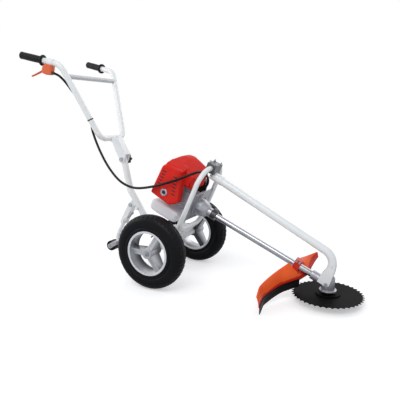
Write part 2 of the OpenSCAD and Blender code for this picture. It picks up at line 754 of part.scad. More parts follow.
module guard() {
    t = 2.5;
    color(orange) skin([for (i = [0:len(guard_st) - 1]) let (s = guard_st[i], n = guard_n(i),
        lo = [s[0] + gx, s[1], s[2]], hi = [s[3] + gx, s[1], s[4]], mi = (lo + hi) / 2 + s[5] * n)
        [lo, mi, hi, hi - t * n, mi - t * n, lo - t * n]], [[0, 1, 4], [0, 4, 5], [1, 2, 3], [1, 3, 4]]);
}

module guard_skirt() {
    color(dark) skin([for (i = [0:7]) let (s = guard_st[i], n = guard_n(i), lo = [s[0] + gx, s[1], s[2]])
        [lo + 0.4 * n + [0, 0, 8], lo + 0.4 * n - [0, 0, 25], lo + 3.4 * n - [0, 0, 25], lo + 3.4 * n + [0, 0, 8]]], [[0, 1, 2], [0, 2, 3]]);
}

module guard_bracket() {
    color(dark) difference() {
        union() {
            drive() translate([drive_len - 157.8, -16.5, -20]) cube([28, 33, 47]);
            drive() translate([drive_len - 135.8, -12, -20]) cube([12, 24, 5]);
            translate([613.5 + gx, 0, 82]) rotate([0, 0, -34]) translate([-26, -12, 0]) cube([23.3, 24, 27]);
        }
        drive() translate([drive_len - 165.8, 0, 0]) along_x() cylinder(d = drive_d + 2 * fit, h = 70);
        drive() for (x = [drive_len - 150.8, drive_len - 136.8])
            translate([x, -30, 20.5]) along_y() cylinder(d = 6 + 2 * fit, h = 60);
    }
}

// engine, in the drive frame
cyl_x = -160;

module crankcase() {
    color(alloy) drive() difference() {
        union() {
            translate([-92, 0, 0]) along_x() cylinder(r = 57, h = 6);
            translate([-190, 0, 0]) along_x() cylinder(r = 38, h = 100);
            translate([-190, 0, 0]) along_x() cylinder(r = 45, h = 6);
            translate([-190, -38, 0]) cube([90, 76, 46]);
            translate([-180, -15, -48]) cube([60, 30, 30]);
        }
        translate([-200, 0, 0]) along_x() cylinder(r = 8 + running, h = 120);
        for (a = [45:90:315])
            translate([-93, 50 * cos(a), 50 * sin(a)]) along_x() cylinder(d = 6 + 2 * fit, h = 8);
    }
}

module engine_cylinder() {
    fins = [for (k = [0:6]) each [[24, 58 + 10 * k], [36, 58 + 10 * k], [36, 61 + 10 * k], [24, 61 + 10 * k]]];
    color(alloy) drive() translate([cyl_x, 0, 0]) {
        rotate_extrude() polygon(concat([[0, 46], [30, 46], [30, 50], [24, 50]], fins, [[24, 126], [18, 132], [0, 132]]));
        translate([0, 0, 131]) cylinder(r = 7, h = 18);
    }
}

module muffler() {
    color(steel) drive() difference() {
        union() {
            translate([-250, -112, 0]) cube([80, 60, 78]);
            translate([-176, -54, 66]) along_y() cylinder(r = 8, h = 24);
            translate([-208, -118, 20]) along_y() cylinder(r = 9, h = 8);
        }
        translate([cyl_x, 0, 40]) cylinder(r = 36 + fit, h = 80);
        translate([-208, -119, 20]) along_y() cylinder(r = 7, h = 30);
    }
}

module muffler_cover() {
    rim = [[-273, -13], [-263, 125], [-250, 140], [-173, 146], [-158, 117], [-130, 5], [-140, -5], [-165, -23]];
    core = [[-269.5, -9.5], [-259.8, 123.5], [-248.4, 136.6], [-175.3, 142.3], [-161.3, 115.8], [-134, 6.3], [-141.6, -1.5],
        [-165.4, -19.2]];
    color(red) drive() difference() {
        plate_y(-122, 44, rim);
        plate_y(-119, 45, core);
        translate([-208, -130, 20]) along_y() cylinder(r = 12, h = 20);
        for (k = [0:5]) {
            translate([-262 + k * 1.2, -130, 30 + 15 * k]) cube([26, 20, 6]);
            translate([-176 - k * 3.4, -130, 30 + 15 * k]) cube([24, 20, 6]);
        }
    }
}

module top_cover() {
    rim = [[-258, 100], [-262, 140], [-240, 178], [-200, 190], [-125, 184], [-118, 170], [-115, 70]];
    core = [[-255, 90], [-258.9, 139.6], [-238, 175], [-199.8, 187], [-126.6, 181.2], [-121, 169.3], [-118.1, 60]];
    color(red) drive() difference() {
        plate_y(-78, 138, rim);
        plate_y(-75, 132, core);
    }
}

module starter_cover() {
    color(dark) drive() difference() {
        union() {
            along_x() rotate_extrude() polygon([[0, -226], [36, -226], [45, -217], [45, -190], [42, -190], [42, -215], [34, -223],
                [0, -223]]);
            translate([-212, 38, 20]) along_y() cylinder(r = 9, h = 16);
        }
        translate([-212, 30, 20]) along_y() cylinder(r = 2.5, h = 30);
    }
}

module starter_grip() {
    color(dark) drive() {
        translate([-234, 64, 20]) along_x() cylinder(r = 7, h = 44);
        translate([-212, 54 + air, 20]) along_y() cylinder(r = 5, h = 8);
    }
}

module rounded(w, h, r) {
    translate([r, 0]) square([w - 2 * r, h]);
    translate([0, r]) square([w, h - 2 * r]);
    for (x = [r, w - r]) for (y = [r, h - r])
        translate([x, y]) circle(r);
}

module tank_form(o) {
    intersection() {
        translate([-270 + o, -88 + o, -106 + o]) linear_extrude(58 - 2 * o) rounded(150 - 2 * o, 160 - 2 * o, 24 - o);
        translate([-270 + o, 80, -106 + o]) rotate([90, 0, 0]) linear_extrude(180) rounded(150 - 2 * o, 58 - 2 * o, 18 - o);
    }
}

module fuel_tank() {
    color(white) drive() difference() {
        union() {
            tank_form(0);
            translate([-235, 66, -76]) along_y() cylinder(r = 14, h = 16);
        }
        tank_form(2.5);
        translate([-235, 60, -76]) along_y() cylinder(r = 11.5, h = 30);
    }
}

module fuel_cap() {
    color(dark) drive() {
        translate([-235, 82 + air, -76]) along_y() cylinder(r = 18, h = 13);
        translate([-235, 72, -76]) along_y() cylinder(r = 11.5 - running, h = 12);
    }
}

module carburettor() {
    color(alloy) drive() difference() {
        translate([-178, 38, 32]) cube([38, 32, 30]);
        translate([-178, 0, 0]) translate([18, 0, 40]) cylinder(r = 36 + fit, h = 40);
    }
}

module air_cleaner() {
    color(dark) drive() {
        translate([-195, 108, 20]) rotate([90, 0, 0]) linear_extrude(38) rounded(80, 75, 14);
        translate([-116, 90, 50]) along_x() cylinder(r = 3, h = 8);
    }
}

module choke_lever() {
    color(dark) drive() difference() {
        union() {
            translate([-115 + air, 90, 50]) along_x() cylinder(r = 7, h = 5);
            translate([-115 + air, 86, 50]) cube([3, 8, 34]);
        }
        translate([-120, 90, 50]) along_x() cylinder(r = 3 + running, h = 14);
    }
}

// every node, in the shared frame
module placed() { translate([-mid_x, 0, 0]) children(); }
placed() hoop();
placed() engine_plate();
placed() spine();
placed() axle_carrier();
placed() axle();
placed() wheel_nuts();
placed() right_tyre();
placed() right_rim();
placed() left_tyre();
placed() left_rim();
placed() handlebar();
placed() handle_bracket();
placed() pivot_bolt();
placed() star_knob();
placed() grips();
placed() throttle_housing();
placed() throttle_lever();
placed() cable_ties();
placed() throttle_cable();
placed() tail_arm();
placed() tail_tube();
placed() tail_spring();
placed() tail_fork();
placed() tail_axle();
placed() tail_wheel();
placed() drive_tube();
placed() tube_collar();
placed() shaft_bushes();
placed() drive_shaft();
placed() clutch_drum();
placed() bevel_pinion();
placed() gear_head();
placed() head_cover();
placed() spindle();
placed() bevel_gear();
placed() upper_flange();
placed() blade();
placed() support_cup();
placed() spindle_nut();
placed() support_tube();
placed() clamp_base();
placed() clamp_cap();
placed() bolts();
placed() guard_bracket();
placed() guard();
placed() guard_skirt();
placed() clutch_housing();
placed() crankcase();
placed() crankshaft();
placed() engine_cylinder();
placed() muffler();
placed() muffler_cover();
placed() top_cover();
placed() starter_cover();
placed() starter_grip();
placed() fuel_tank();
placed() fuel_cap();
placed() carburettor();
placed() air_cleaner();
placed() choke_lever();
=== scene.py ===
"""Looks of the two-wheeled brush cutter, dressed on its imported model. Shapes are worked out in millimetres
from the point on the ground under the axle, and each mesh is put into metres in the model's own frame."""
import json
import math
import bmesh
import bpy
import numpy as np
from mathutils import Matrix


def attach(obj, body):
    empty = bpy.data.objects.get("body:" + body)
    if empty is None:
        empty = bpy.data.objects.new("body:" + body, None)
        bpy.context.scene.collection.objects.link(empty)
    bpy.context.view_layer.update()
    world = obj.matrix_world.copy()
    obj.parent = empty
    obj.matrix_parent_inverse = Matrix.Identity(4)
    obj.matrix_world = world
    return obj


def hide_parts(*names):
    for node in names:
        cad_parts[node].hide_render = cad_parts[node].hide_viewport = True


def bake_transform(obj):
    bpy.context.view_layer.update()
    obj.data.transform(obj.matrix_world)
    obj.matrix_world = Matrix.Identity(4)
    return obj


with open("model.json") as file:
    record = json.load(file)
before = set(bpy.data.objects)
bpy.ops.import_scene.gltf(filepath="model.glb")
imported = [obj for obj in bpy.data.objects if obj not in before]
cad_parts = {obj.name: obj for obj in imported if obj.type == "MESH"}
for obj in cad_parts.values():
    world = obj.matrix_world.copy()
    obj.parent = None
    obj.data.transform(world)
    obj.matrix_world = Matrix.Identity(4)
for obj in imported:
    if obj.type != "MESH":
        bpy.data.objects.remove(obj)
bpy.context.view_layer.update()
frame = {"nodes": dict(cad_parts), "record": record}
nodes = frame["nodes"]
scene = bpy.context.scene
scene.view_settings.view_transform = "Standard"

# places shared with the part, in millimetres: the middle of the length, the wheels and the blade
MID_X = 83.012
WHEEL_Y = 214
AXLE_Z = 165
BLADE_X = 718.0
BLADE_Z = 74.0

# the sloping drive frame: along the drive tube, across it and above it, from the engine's plate
SLOPE = math.radians(24.2)
DIR_A = np.array([math.cos(SLOPE), 0.0, -math.sin(SLOPE)])
DIR_B = np.array([0.0, 1.0, 0.0])
DIR_C = np.array([math.sin(SLOPE), 0.0, math.cos(SLOPE)])
PLATE_TO_BLADE = 575.8
DRIVE_0 = np.array([BLADE_X, 0.0, BLADE_Z]) - PLATE_TO_BLADE * DIR_A

# the far side's mirror of a point on the near side
OVER = np.array([1.0, -1.0, 1.0])


def metres(points):
    """Axle-based millimetres as metres in the model's frame: the middle of the length is x = 0."""
    return (np.asarray(points, float) - [MID_X, 0, 0]) / 1000


def placed(points, origin, along, across, above):
    """The origin plus each point's three numbers times the three directions."""
    p = np.asarray(points, float)
    return origin + p[..., 0:1] * along + p[..., 1:2] * across + p[..., 2:3] * above


def drive(points):
    """Drive-frame millimetres as axle-based millimetres."""
    return placed(points, DRIVE_0, DIR_A, DIR_B, DIR_C)


def unit(vectors):
    """Vectors divided by their own length."""
    v = np.asarray(vectors, float)
    return v / np.linalg.norm(v, axis=-1, keepdims=True)


def round_angles(count):
    """Even angles once round a circle, with the last one a step short of the first."""
    return np.linspace(0, 2 * np.pi, count, endpoint=False)


def signed_power(values, power):
    """|v|^power with the sign of v; on a cosine and a sine it squares off the circle."""
    return np.sign(values) * np.abs(values) ** power


def soft_step(x, width):
    """A rise from 0 to 1 about x = 0: 1 / (1 + exp(-x / width))."""
    return 1 / (1 + np.exp(-x / width))


# shader maths
class Value:
    """A shader socket; an operator on it adds one Math node to its tree."""

    def __init__(self, tree, socket):
        self.tree = tree
        self.socket = socket

    def math(self, kind, a, b):
        """A Math node of the given kind on a and b."""
        return self.tree.node("ShaderNodeMath", {"operation": kind}, {0: a, 1: b})

    def __add__(self, other):
        return self.math("ADD", self, other)

    def __radd__(self, other):
        return self.math("ADD", other, self)

    def __sub__(self, other):
        return self.math("SUBTRACT", self, other)

    def __rsub__(self, other):
        return self.math("SUBTRACT", other, self)

    def __mul__(self, other):
        return self.math("MULTIPLY", self, other)

    def __rmul__(self, other):
        return self.math("MULTIPLY", other, self)

    def __pow__(self, other):
        return self.math("POWER", self, other)

    def __rpow__(self, other):
        return self.math("POWER", other, self)

    def step(self, low, high):
        """0 below low, 1 above high, a smooth rise between them."""
        return self.tree.node("ShaderNodeMapRange", {"interpolation_type": "SMOOTHSTEP"},
                              {0: self, 1: low, 2: high, 3: 0.0, 4: 1.0})


class Tree:
    """A node tree, to which one method adds nodes of any kind."""

    def __init__(self, node_tree):
        self.nodes = node_tree.nodes
        self.links = node_tree.links

    def feed(self, socket, value):
        """Links a shader value to a socket, or sets a plain number or colour on it."""
        if isinstance(value, Value):
            self.links.new(value.socket, socket)
        else:
            socket.default_value = value

    def node(self, kind, settings, sockets, out=0):
        """Any node: its type, its settings, the values or links of its sockets, and the output used."""
        made = self.nodes.new(kind)
        for key, value in settings.items():
            setattr(made, key, value)
        for key, value in sockets.items():
            self.feed(made.inputs[key], value)
        return Value(self, made.outputs[out])


def socket_name(key):
    """specular_IOR_level is the socket called Specular IOR Level."""
    return " ".join(word if word.isupper() else word.capitalize() for word in key.split("_"))


class Finish(Tree):
    """One procedural material with a Principled shader, on Object coordinates."""

    def __init__(self, name, **fixed):
        self.material = bpy.data.materials.new(name)
        self.material.use_nodes = True
        super().__init__(self.material.node_tree)
        self.shader = self.nodes["Principled BSDF"]
        self.place = self.node("ShaderNodeTexCoord", {}, {}, "Object")
        self.set(**fixed)

    def set(self, **sockets):
        """Feeds the Principled shader's sockets, named in lower case with underscores."""
        for key, value in sockets.items():
            self.feed(self.shader.inputs[socket_name(key)], value)
        return self

    def noise(self, scale, detail=3.0, rough=0.55, at=None):
        """Cloudy noise from 0 to 1, at Object coordinates unless another place is given."""
        return self.node("ShaderNodeTexNoise", {}, {"Vector": at or self.place, "Scale": scale,
                                                    "Detail": detail, "Roughness": rough})

    def stretched(self, scale, turn=(0.0, 0.0, 0.0)):
        """Object coordinates turned and stretched, for marks with a direction."""
        return self.node("ShaderNodeMapping", {}, {"Vector": self.place, "Scale": scale, "Rotation": turn})

    def axis(self, letter):
        """One of the three Object coordinates."""
        return self.node("ShaderNodeSeparateXYZ", {}, {0: self.place}, letter)

    def mix(self, factor, a, b):
        """Colour a where factor is 0, colour b where it is 1."""
        return self.node("ShaderNodeMix", {"data_type": "RGBA"}, {0: factor, 6: a, 7: b}, 2)

    def bump(self, height, distance, strength):
        """Fine relief of the given height in metres, through the shader's Normal."""
        relief = {"Height": height, "Distance": distance, "Strength": strength}
        return self.set(normal=self.node("ShaderNodeBump", {}, relief))


def rgb(r, g, b):
    """A colour as it shows on screen (0 to 255) in the linear numbers that shaders take."""
    c = np.array([r, g, b]) / 255
    return tuple(np.where(c <= 0.04045, c / 12.92, ((c + 0.055) / 1.055) ** 2.4).tolist()) + (1.0,)


# finishes
def painted(name, colour, worn, rough=0.26):
    """Stoved paint: faint cloudiness, small flecks of the worn colour, and an orange-peel skin."""
    f = Finish(name, coat_weight=0.35, coat_roughness=0.12)
    cloud = f.noise(9.0, 4.0)
    fleck = f.noise(160.0, 2.0).step(0.68, 0.74)
    f.set(base_color=f.mix(fleck * 0.1 + cloud.step(0.45, 0.8) * 0.6, colour, worn))
    f.set(roughness=cloud * 0.16 + (rough - 0.06))
    return f.bump(f.noise(300.0, 1.0), 0.00005, 0.3)


def moulded(name, colour, shade, rough=0.3, grain=700.0, depth=0.00006, gloss=0.35):
    """Moulded plastic: slight drift of colour, fine grain, and a few scuffs that turn it dull."""
    f = Finish(name, specular_IOR_level=gloss)
    drift = f.noise(7.0, 3.0)
    scuff = f.noise(60.0, 5.0, 0.7, f.stretched((1.0, 3.0, 0.5))).step(0.6, 0.75)
    f.set(base_color=f.mix(drift.step(0.3, 0.75), colour, shade))
    f.set(roughness=drift * 0.1 + scuff * 0.18 + (rough - 0.05))
    return f.bump(f.noise(grain, 2.0), depth, 0.6)


def metal(name, colour, shade, rough, stretch=(1.0, 1.0, 1.0), scale=80.0, metallic=1.0,
          turn=(0.0, 0.0, 0.0)):
    """Bare or plated metal: brushing drawn out along one direction, and stains that are rougher."""
    f = Finish(name, metallic=metallic)
    brush = f.noise(scale, 4.0, 0.6, f.stretched(stretch, turn))
    stain = f.noise(14.0, 4.0).step(0.5, 0.75)
    f.set(base_color=f.mix(brush.step(0.3, 0.7) * 0.5 + stain * 0.4, colour, shade))
    f.set(roughness=brush * 0.16 + stain * 0.12 + (rough - 0.09))
    return f.bump(brush, 0.00004, 0.4)


def rubber(name, colour, dusty, rough=0.6, grain=380.0):
    """Rubber: a matt skin with a grey bloom of dust in patches and a fine pebble."""
    f = Finish(name, specular_IOR_level=0.18)
    bloom = f.noise(22.0, 5.0, 0.65).step(0.48, 0.8)
    f.set(base_color=f.mix(bloom * 0.7, colour, dusty))
    f.set(roughness=bloom * 0.2 + (rough - 0.05))
    return f.bump(f.noise(grain, 3.0), 0.0001, 0.6)


def rim_paint(name, face, shade, back):
    """Silver paint on a wheel's outer face that fades, inwards along y, to a dark painted shade on the
    wheel's inner side.
    """
    f = Finish(name, coat_weight=0.35, coat_roughness=0.12, metallic=0.7)
    cloud = f.noise(9.0, 4.0)
    y = f.axis("Y")
    outer = ((y * y) ** 0.5).step(0.186, 0.236)
    # back is the painted shade on the wheel's inner side, from |y| = 0.186 m inwards
    f.set(base_color=f.mix(outer, back, f.mix(cloud.step(0.45, 0.8) * 0.6, face, shade)))
    f.set(roughness=cloud * 0.16 + 0.24)
    return f.bump(f.noise(300.0, 1.0), 0.00005, 0.3)


def ground(name, colour, shade, rough, middle):
    """Ground steel disc: rings about its middle, from noise along the radius, and duller stains."""
    f = Finish(name, specular_IOR_level=0.03)
    x = f.axis("X") - middle
    y = f.axis("Y")
    radius = (x * x + y * y) ** 0.5
    ring_place = f.node("ShaderNodeCombineXYZ", {}, {0: radius * 220.0, 1: f.noise(5.0) * 3.0})
    rings = f.noise(1.0, 3.0, 0.6, ring_place)
    stain = f.noise(12.0, 4.0).step(0.42, 0.75)
    f.set(base_color=f.mix(rings.step(0.35, 0.7) * 0.6 + stain * 0.4, colour, shade))
    f.set(roughness=rings * 0.2 + (rough - 0.1))
    return f.bump(rings, 0.00003, 0.4)


white = painted("white_paint", rgb(244, 246, 247), rgb(236, 239, 240))
# rgb(70, 71, 76) is painted shade on the inner side of the wheels
silver = rim_paint("silver_paint", rgb(186, 188, 193), rgb(160, 162, 168), rgb(70, 71, 76))
rim_edge = painted("rim_edge", rgb(222, 224, 227), rgb(206, 208, 212)).set(metallic=0.4)
# the handlebar's cross bar is given a greyer white than the bent tube
greyer_bar = painted("greyer_bar_paint", rgb(200, 202, 206), rgb(186, 188, 193))
# a darker red, worn as painted shade by the guard's lower band, and as the colour of the guard's bracket
band_red = moulded("guard_band", rgb(214, 42, 26), rgb(200, 36, 24), 0.34)
red = moulded("red_cover", rgb(230, 46, 36), rgb(216, 36, 30), 0.34, gloss=0.14)
orange = moulded("orange_guard", rgb(255, 104, 36), rgb(252, 92, 30), 0.34)
pale_orange = moulded("orange_throttle", rgb(232, 116, 76), rgb(222, 102, 64), 0.36)
tank_white = moulded("tank_plastic", rgb(252, 252, 255), rgb(247, 247, 255), 0.32)
black_plastic = moulded("black_plastic", rgb(26, 26, 28), rgb(19, 19, 21), 0.46, 900.0, 0.00009)
# the tyre's black and its dust colour are both tinted blue as a painted reflection
tyre_black = rubber("tyre_rubber", rgb(7, 8, 13), rgb(15, 17, 24), 0.4).set(specular_IOR_level=0.14)
grip_black = rubber("grip_rubber", rgb(16, 16, 17), rgb(27, 27, 28), 0.5, 600.0)
cable_black = rubber("cable_sheath", rgb(14, 14, 15), rgb(25, 25, 26), 0.42, 900.0)
chrome = metal("bright_tube", rgb(176, 178, 183), rgb(132, 134, 140), 0.14, (1.0, 30.0, 30.0), 20.0,
               turn=(0.0, -SLOPE, 0.0))
steel = metal("zinc_steel", rgb(186, 188, 192), rgb(150, 152, 158), 0.3)
alloy = metal("cast_alloy", rgb(176, 176, 183), rgb(140, 140, 149), 0.3, scale=300.0, metallic=0.7)
dark_metal = painted("dark_metal", rgb(34, 35, 38), rgb(48, 48, 50), 0.34)
lever_orange = moulded("orange_lever", rgb(212, 100, 56), rgb(196, 88, 48), 0.36)
clamp_grey = painted("clamp_grey", rgb(84, 85, 89), rgb(62, 63, 67), 0.3).set(metallic=0.5)
cast_grey = metal("sand_cast_alloy", rgb(208, 208, 215), rgb(184, 184, 192), 0.5, scale=300.0,
                  metallic=0.2)
blade_steel = ground("blade_steel", rgb(7, 7, 8), rgb(21, 20, 21), 0.5, (BLADE_X - MID_X) / 1000)

# each finish with its slot and the nodes that wear it
by_finish = [
    (white, "white_paint", "hoop spine axle_carrier handlebar handle_bracket tail_arm tail_tube "
     "support_tube"),
    (silver, "rim", "right_rim left_rim"),
    (tyre_black, "tyre", "right_tyre left_tyre tail_wheel"),
    (red, "red_cover", "muffler_cover top_cover"),
    (orange, "orange", "guard"),
    (band_red, "orange", "guard_bracket"),
    (pale_orange, "orange", "throttle_housing"),
    (lever_orange, "orange", "throttle_lever"),
    (tank_white, "tank", "fuel_tank"),
    (chrome, "bright_tube", "drive_tube"),
    (steel, "steel", "axle wheel_nuts pivot_bolt bolts tail_axle tail_fork tail_spring spindle spindle_nut "
     "drive_shaft clutch_drum bevel_pinion bevel_gear crankshaft muffler shaft_bushes"),
    (alloy, "alloy", "engine_plate gear_head head_cover clutch_housing support_cup carburettor"),
    (cast_grey, "alloy", "crankcase engine_cylinder"),
    (dark_metal, "dark_metal", "tube_collar"),
    (clamp_grey, "dark_metal", "clamp_base clamp_cap"),
    (blade_steel, "dark_metal", "blade upper_flange"),
    (black_plastic, "black_plastic", "star_knob cable_ties starter_cover starter_grip fuel_cap "
     "air_cleaner choke_lever"),
    (grip_black, "black_rubber", "grips guard_skirt"),
    (cable_black, "black_rubber", "throttle_cable"),
]
finish_of = {}
for finish, slot_name, names in by_finish:
    for name in names.split():
        nodes[name].data.materials.clear()
        nodes[name].data.materials.append(finish.material)
        finish_of[name] = finish
bodies = frame["record"]["behaviour"]["bodies"]
body_of = {node: body for body, held in bodies.items() for node in held}


# camera, lights, backdrop and floor
def aimed(name, data, right, up, back, place):
    """Puts a camera or a lamp at a place; it looks along the opposite of back."""
    made = bpy.data.objects.new(name, data)
    scene.collection.objects.link(made)
    turn = np.stack([right, up, back], 1)
    made.matrix_world = Matrix([[*row, p] for row, p in zip(turn, place)] + [[0, 0, 0, 1]])
    return made


def look(name, place, azimuth, pitch, roll, lens):
    """A camera turned by azimuth about the vertical, tipped down by pitch, then rolled about its axis."""
    a, e, r = (math.radians(x) for x in (azimuth, pitch, roll))
    back = np.array([math.sin(a) * math.cos(e), -math.cos(a) * math.cos(e), math.sin(e)])
    right = np.array([math.cos(a), math.sin(a), 0.0])
    up = np.cross(back, right)
    right, up = math.cos(r) * right + math.sin(r) * up, math.cos(r) * up - math.sin(r) * right
    data = bpy.data.cameras.new(name)
    data.lens = lens
    data.sensor_width = 36.0
    data.clip_start = 0.05
    scene.camera = aimed(name, data, right, up, back, place)


look("photo_camera", (0.92824, -1.73441, 0.75081), azimuth=26.97, pitch=11.11, roll=0.20, lens=39.11)


def softbox(name, place, target, size, watts):
    """A square lamp aimed at a point."""
    data = bpy.data.lights.new(name, "AREA")
    data.energy = watts
    data.size = size
    back = unit(np.array(place) - target)
    right = unit(np.cross([0.0, 0.0, 1.0], back))
    aimed(name, data, right, np.cross(back, right), back, place)


softbox("key_lamp", (0.4, -2.6, 3.2), (0.0, 0.0, 0.4), size=2.2, watts=48.0)
softbox("side_lamp", (-2.8, -1.2, 1.9), (0.0, 0.0, 0.5), size=1.8, watts=20.0)
softbox("back_lamp", (0.9, 2.8, 2.4), (0.0, 0.0, 0.4), size=2.0, watts=20.0)

# a white backdrop for the camera, metal and glass, and a dimmer room that lights the object
world = bpy.data.worlds.new("studio")
scene.world = world
world.use_nodes = True
air = Tree(world.node_tree)
room = air.nodes["Background"]
air.feed(room.inputs[0], (0.94, 0.97, 1.0, 1.0))
air.feed(room.inputs[1], 0.52)
backdrop = air.node("ShaderNodeBackground", {}, {0: (1.0, 1.0, 1.0, 1.0), 1: 1.0})
seen = air.node("ShaderNodeLightPath", {}, {}, "Is Camera Ray")
for ray in ("Is Glossy Ray", "Is Transmission Ray"):
    seen = seen.math("MAXIMUM", seen, air.node("ShaderNodeLightPath", {}, {}, ray))
either = air.node("ShaderNodeMixShader", {}, {0: seen, 1: Value(air, room.outputs[0]), 2: backdrop})
air.feed(air.nodes["World Output"].inputs[0], either)

FLOOR_HALF = 9
FLOOR_Z = -0.0005
floor_mesh = bpy.data.meshes.new("floor")
floor_corners = [(x * FLOOR_HALF, y * FLOOR_HALF, FLOOR_Z) for x, y in ((-1, -1), (1, -1), (1, 1), (-1, 1))]
floor_mesh.from_pydata(floor_corners, [], [(0, 1, 2, 3)])
floor = bpy.data.objects.new("floor", floor_mesh)
scene.collection.objects.link(floor)
pale = Finish("pale_floor", roughness=0.9)
pale.set(base_color=pale.mix(pale.noise(3.0), rgb(236, 236, 236), rgb(232, 232, 233)))
lift = pale.node("ShaderNodeLightPath", {}, {}, "Is Camera Ray")
pale.set(emission_color=pale.mix(lift, (0.0, 0.0, 0.0, 1.0), (0.42, 0.42, 0.42, 1.0)), emission_strength=1.0)
away = pale.node("ShaderNodeVectorMath", {"operation": "LENGTH"}, {0: pale.place}, "Value")
pale.set(alpha=1 - away.step(1.3, 2.6))
floor_mesh.materials.append(pale.material)


# mesh tools: a grid of points (u, v, 3) comes with its wraps in u and in v and whether its u ends are closed
def capped(points):
    """A grid of rings laid one after another, with a face over the first and the last."""
    return points, False, True, True


def endless(points):
    """A grid that closes on itself both ways, as a closed profile turned about an axis does."""
    return points, True, True, False


def piece(name, grids, finish, body, stands_for=(), angle=40.0):
    """One mesh from grids in axle-based millimetres: a quad between four neighbours, and the end faces."""
    parts, faces, base = [], [], 0
    for points, round_u, round_v, ends in grids:
        u, v = points.shape[:2]
        rows = np.arange(u if round_u else u - 1)
        columns = np.arange(v if round_v else v - 1)
        i, j = np.meshgrid(rows, columns, indexing="ij")
        k, m = (i + 1) % u, (j + 1) % v
        quads = np.stack([i * v + j, k * v + j, k * v + m, i * v + m], -1).reshape(-1, 4) + base
        faces += quads.tolist()
        if ends:
            faces.append(list(range(base + v - 1, base - 1, -1)))
            faces.append(list(range(base + (u - 1) * v, base + u * v)))
        parts.append(points.reshape(-1, 3))
        base += u * v
    mesh = bpy.data.meshes.new(name)
    mesh.from_pydata(metres(np.concatenate(parts)).tolist(), [], faces)
    return finished(name, mesh, finish, body, stands_for, angle)


def finished(name, mesh, finish, body, stands_for, angle):
    """Puts a mesh into the scene with faces outwards, soft shading below the angle, its finish and body."""
    work = bmesh.new()
    work.from_mesh(mesh)
    bmesh.ops.recalc_face_normals(work, faces=work.faces)
    work.to_mesh(mesh)
    work.free()
    mesh.materials.clear()
    mesh.materials.append(finish.material)
    mesh.shade_smooth()
    mesh.set_sharp_from_angle(angle=math.radians(angle))
    made = bpy.data.objects.new(name, mesh)
    scene.collection.objects.link(made)
    if body:
        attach(made, body)
    if stands_for:
        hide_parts(*stands_for)
    return made


def softened(node, width):
    """A node's own solid, merged and freed of flat seams, with its edges rounded to the width in metres."""
    mesh = nodes[node].data.copy()
    work = bmesh.new()
    work.from_mesh(mesh)
    bmesh.ops.remove_doubles(work, verts=work.verts, dist=2e-5)
    bmesh.ops.dissolve_limit(work, angle_limit=math.radians(0.6), verts=work.verts, edges=work.edges)
    work.to_mesh(mesh)
    work.free()
    made = finished(node + "_soft", mesh, finish_of[node], body_of[node], (node,), 60.0)
    bevel = made.modifiers.new("edges", "BEVEL")
    bevel.width = width
    bevel.segments = 3
    bevel.limit_method = "ANGLE"
    bevel.angle_limit = math.radians(35.0)
    bevel.harden_normals = False
    return made


def smooth_path(keys, count):
    """Points on a curve through the keys: each span is a cubic whose slope at a key is half the step between
    the key's neighbours."""
    k = np.asarray(keys, float)
    a = np.concatenate([k[:1], k[:-2]])
    b, c = k[:-1], k[1:]
    d = np.concatenate([k[2:], k[-1:]])
    t = (np.arange(count) / count)[None, :, None]
    a, b, c, d = (x[:, None, :] for x in (a, b, c, d))
    square = 2 * a - 5 * b + 4 * c - d
    cube = 3 * b - a - 3 * c + d
    spans = 0.5 * (2 * b + (c - a) * t + square * t ** 2 + cube * t ** 3)
    return np.concatenate([spans.reshape(-1, k.shape[1]), k[-1:]])


def bent(corners, radii, steps=16):
    """Straight runs with a round bend at each inner corner q: c + r (cos t e + sin t d), where d is the run's
    direction, c the bend's centre and e the way from c to the bend's start."""
    p = np.asarray(corners, float)
    path = [p[0]]
    for a, q, b, r in zip(p[:-2], p[1:-1], p[2:], radii):
        d = unit(q - a)
        on = unit(b - q)
        half_turn = math.acos(d @ on) / 2
        c = q + unit(on - d) * r / math.cos(half_turn)
        e = (q - r * math.tan(half_turn) * d - c) / r
        t = np.linspace(0, 2 * half_turn, steps)[:, None]
        path += list(c + r * (np.cos(t) * e + np.sin(t) * d))
    return np.array(path + [p[-1]])


def frames(path):
    """Two directions across a path at each of its points, which turn with it and never twist."""
    along = unit(np.gradient(path, axis=0))
    rows = [unit(np.cross(along[0], [0.3, 0.2, 0.9]))]
    for t in along[1:]:
        rows.append(unit(rows[-1] - (rows[-1] @ t) * t))
    across = np.array(rows)
    return across, np.cross(along, across)


def tube(path, radius, sides):
    """A ring about each point of a path: point + radius (cos a across + sin a up)."""
    path = np.asarray(path, float)
    across, up = frames(path)
    a = round_angles(sides)[None, :, None]
    return path[:, None] + radius * (np.cos(a) * across[:, None] + np.sin(a) * up[:, None])


def turned(profile, centre, axis, count):
    """A closed profile of (radius r, height h) pairs turned about an axis through a centre:
    centre + r (cos a x + sin a y) + h axis."""
    axis = unit(axis)
    x = unit(np.cross(axis, [0.0, 0.0, 1.0] if abs(axis[2]) < 0.9 else [1.0, 0.0, 0.0]))
    y = np.cross(axis, x)
    a = round_angles(count)[:, None, None]
    p = np.asarray(profile, float)
    r, h = p[None, :, 0:1], p[None, :, 1:2]
    return centre + r * (np.cos(a) * x + np.sin(a) * y) + h * axis


def outline(corners, soft, count=220):
    """A closed outline through corner points, walked at even steps and rounded by a bell-shaped mean."""
    c = np.asarray(corners, float)
    closed = np.concatenate([c, c[:1]])
    s = np.concatenate([[0], np.cumsum(np.linalg.norm(np.diff(closed, axis=0), axis=1))])
    even = np.linspace(0, s[-1], count, endpoint=False)
    points = np.stack([np.interp(even, s, closed[:, 0]), np.interp(even, s, closed[:, 1])], 1)
    lag = np.minimum(np.arange(count), count - np.arange(count)) * s[-1] / count
    bell = np.exp(-0.5 * (lag / soft) ** 2)
    spread = np.fft.fft(bell / bell.sum())[:, None]
    return np.real(np.fft.ifft(np.fft.fft(points, axis=0) * spread, axis=0))


